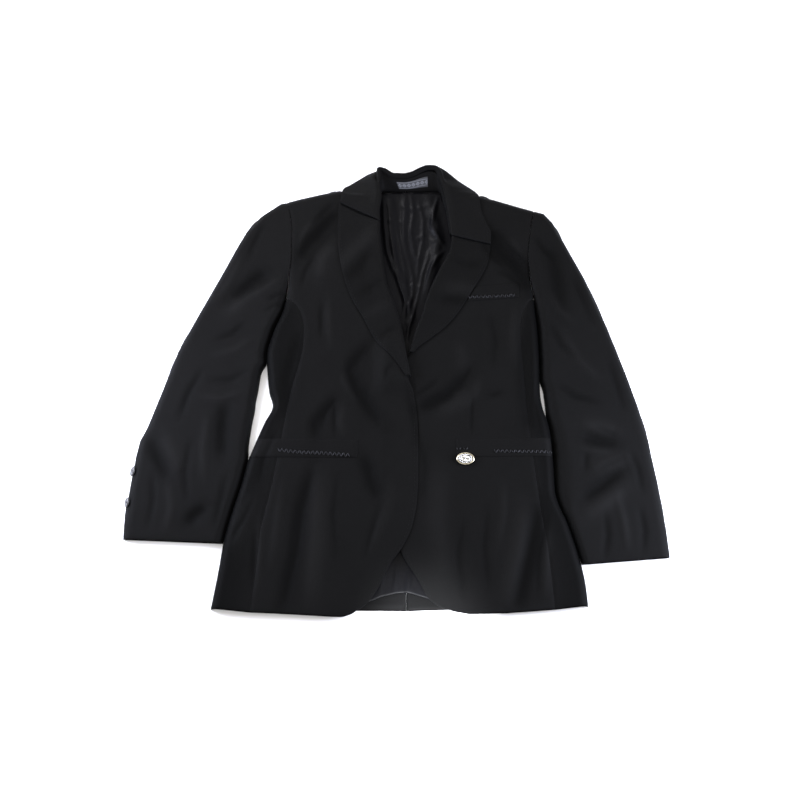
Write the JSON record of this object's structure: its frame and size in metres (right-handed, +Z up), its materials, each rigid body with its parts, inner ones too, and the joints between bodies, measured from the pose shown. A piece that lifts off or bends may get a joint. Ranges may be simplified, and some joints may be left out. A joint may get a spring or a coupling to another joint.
{
  "type": "blazer laid flat",
  "caption": "Dark single-breasted blazer lying flat on its back, with notched lapels, flap pockets, a cutaway hem and a small oval ornament.",
  "frame": {"origin": "on the floor under the back, at the middle of the back's width and of the body's length, on the flat underside of the right back panel", "axes": "+X to the viewer's right across the sleeves, +Y from the hem to the collar, +Z up out of the floor it lies on"},
  "size_m": [0.8005, 0.7176, 0.0296],
  "materials": {
    "black_cloth": "matt fine twill with a faint sheen",
    "black_satin": "glossy satin lining",
    "label_tape": "woven tape",
    "pale_metal": "polished pale plating",
    "button_resin": "dark polished resin"
  },
  "bodies": {
    "root": {"back_left": "black_cloth", "back_lining_hem": "black_satin", "back_lining_neck": "black_satin", "back_right": "black_cloth", "chest_welt": "black_cloth", "collar_fall": "black_cloth", "collar_stand": "black_cloth", "cuff_button_right_1": "button_resin", "cuff_button_right_2": "button_resin", "front_left": "black_cloth", "front_right": "black_cloth", "lapel_left": "black_cloth", "lapel_right": "black_cloth", "neck_label": "label_tape", "oval_ornament": "pale_metal", "pocket_flap_left": "black_cloth", "pocket_flap_right": "black_cloth", "side_panel_left": "black_cloth", "side_panel_right": "black_cloth", "under_sleeve_left": "black_cloth", "under_sleeve_right": "black_cloth", "upper_sleeve_left": "black_cloth", "upper_sleeve_right": "black_cloth"}
  },
  "joints": []
}
